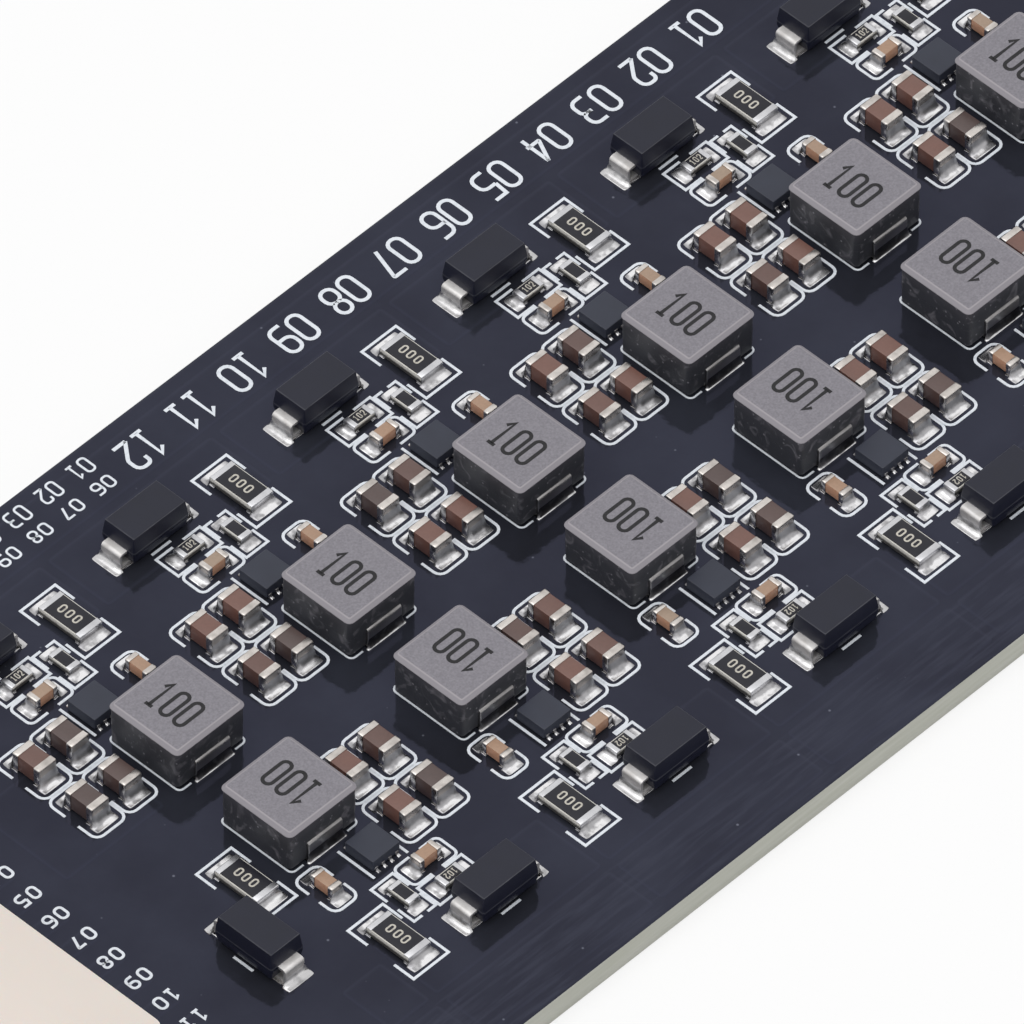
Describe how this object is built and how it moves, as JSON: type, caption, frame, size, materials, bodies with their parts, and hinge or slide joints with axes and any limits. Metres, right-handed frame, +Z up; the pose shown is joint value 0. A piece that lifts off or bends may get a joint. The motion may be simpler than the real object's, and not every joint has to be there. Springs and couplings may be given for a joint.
{
  "type": "active balancer board",
  "caption": "Flat circuit board with rows of inductor balancing cells and a white side-entry wire header at one end, for evening out the cells of a battery pack.",
  "frame": {"origin": "middle of the board's underside", "axes": "+X along the board's length, away from the header; +Y across the board towards the back row; +Z up, out of the component side"},
  "size_m": [0.1, 0.0446, 0.0068],
  "materials": {
    "board_laminate": "satin dark solder mask over glass laminate",
    "header_nylon": "moulded, satin",
    "contact_metal": "tin plated",
    "tinned_copper": "tin plated",
    "powder_core": "moulded powder, grey painted top, near-black sides",
    "moulded_epoxy": "moulded, satin",
    "brown_ceramic": "fired, satin",
    "tan_ceramic": "fired, satin",
    "resistor_glaze": "black glaze over white ceramic",
    "tin_caps": "matte tin plating",
    "solder": "bright solder"
  },
  "bodies": {
    "root": {"circuit_board": "board_laminate", "header_housing": "header_nylon", "header_contacts": "contact_metal", "header_anchor_tabs": "contact_metal", "inductor_straps": "tinned_copper", "chip_leads": "tinned_copper", "diode_leads": "tinned_copper", "bank_end_caps": "tin_caps", "small_capacitors": "tan_ceramic", "small_capacitor_end_caps": "tin_caps", "small_resistors": "resistor_glaze", "small_resistor_ends": "tin_caps", "link_resistors": "resistor_glaze", "link_resistor_ends": "tin_caps", "solder_joints": "solder", "inductor_01": "powder_core", "inductor_02": "powder_core", "inductor_03": "powder_core", "inductor_04": "powder_core", "inductor_05": "powder_core", "inductor_06": "powder_core", "inductor_07": "powder_core", "inductor_08": "powder_core", "inductor_09": "powder_core", "inductor_10": "powder_core", "inductor_11": "powder_core", "balance_chip_01": "moulded_epoxy", "balance_chip_02": "moulded_epoxy", "balance_chip_03": "moulded_epoxy", "balance_chip_04": "moulded_epoxy", "balance_chip_05": "moulded_epoxy", "balance_chip_06": "moulded_epoxy", "balance_chip_07": "moulded_epoxy", "balance_chip_08": "moulded_epoxy", "balance_chip_09": "moulded_epoxy", "balance_chip_10": "moulded_epoxy", "balance_chip_11": "moulded_epoxy", "capacitor_bank_01": "brown_ceramic", "capacitor_bank_02": "brown_ceramic", "capacitor_bank_03": "brown_ceramic", "capacitor_bank_04": "brown_ceramic", "capacitor_bank_05": "brown_ceramic", "capacitor_bank_06": "brown_ceramic", "capacitor_bank_07": "brown_ceramic", "capacitor_bank_08": "brown_ceramic", "capacitor_bank_09": "brown_ceramic", "capacitor_bank_10": "brown_ceramic", "capacitor_bank_11": "brown_ceramic", "clamp_diode_01": "moulded_epoxy", "clamp_diode_02": "moulded_epoxy", "clamp_diode_03": "moulded_epoxy", "clamp_diode_04": "moulded_epoxy", "clamp_diode_05": "moulded_epoxy", "clamp_diode_06": "moulded_epoxy", "clamp_diode_07": "moulded_epoxy", "clamp_diode_08": "moulded_epoxy", "clamp_diode_09": "moulded_epoxy", "clamp_diode_10": "moulded_epoxy", "clamp_diode_11": "moulded_epoxy", "clamp_diode_12": "moulded_epoxy"}
  },
  "joints": []
}
